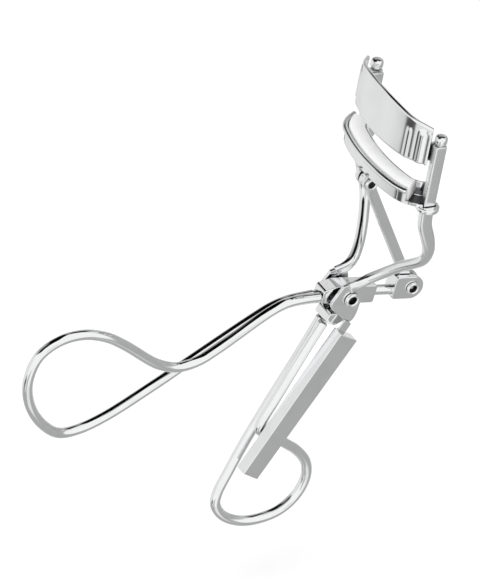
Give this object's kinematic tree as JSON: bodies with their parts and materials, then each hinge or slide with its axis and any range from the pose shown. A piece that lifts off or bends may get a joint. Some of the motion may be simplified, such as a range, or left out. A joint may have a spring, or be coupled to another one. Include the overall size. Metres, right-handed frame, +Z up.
{
  "type": "eyelash curler",
  "caption": "Hand-held lash curling tool with wire finger loops, a curved fixed jaw, a padded sliding jaw on two guide rails and a fold-out comb.",
  "frame": {"origin": "middle of the tool's bounding box at rest, on the tool's middle plane; the main rivet's middle is 30.19 mm along +Y and 3.36 mm along +Z from it", "axes": "+X along the main rivet towards the comb case's side, +Y towards the eye, +Z up the guide rails"},
  "size_m": [0.0374, 0.1, 0.1168],
  "materials": {
    "chrome": "bright nickel-chrome plate on steel",
    "pad": "smooth pale silicone rubber",
    "comb": "smooth dark moulded plastic"
  },
  "bodies": {
    "frame": {"near_side_rail": "chrome", "far_side_rail": "chrome", "near_rail_cap": "chrome", "far_rail_cap": "chrome", "upper_plate": "chrome", "thumb_loop": "chrome", "yoke_block": "chrome", "main_rivet": "chrome", "comb_case": "chrome", "comb_pin": "chrome"},
    "finger_handle": {"lever": "chrome", "finger_loop": "chrome", "link_rivet": "chrome"},
    "jaw_carriage": {"lower_jaw": "chrome", "pad": "pad", "lug_rivet": "chrome"},
    "link": {"link": "chrome"},
    "comb": {"comb": "comb"}
  },
  "joints": [
    {"name": "handle_squeeze", "type": "hinge", "parent": "frame", "child": "finger_handle", "pos_m": [0, 0.03019, 0.00336], "axis": [1, 0, 0], "range_deg": [-8, 19]},
    {"name": "jaw_slide", "type": "slide", "parent": "frame", "child": "jaw_carriage", "axis": [0, 0, 1], "range_m": [-0.0025, 0.0058]},
    {"name": "link_swing", "type": "hinge", "parent": "finger_handle", "child": "link", "pos_m": [0, 0.04711, 0.00264], "axis": [1, 0, 0], "range_deg": [-21, 9]},
    {"name": "comb_fold", "type": "hinge", "parent": "frame", "child": "comb", "pos_m": [0.00453, 0.01222, -0.03825], "axis": [-1, 0, 0], "range_deg": [0, 170]}
  ],
  "couplings": [
    {"joint": "jaw_slide", "follows": "handle_squeeze", "m_per_rad": 0.0173},
    {"joint": "link_swing", "follows": "handle_squeeze", "ratio": -1.03}
  ]
}
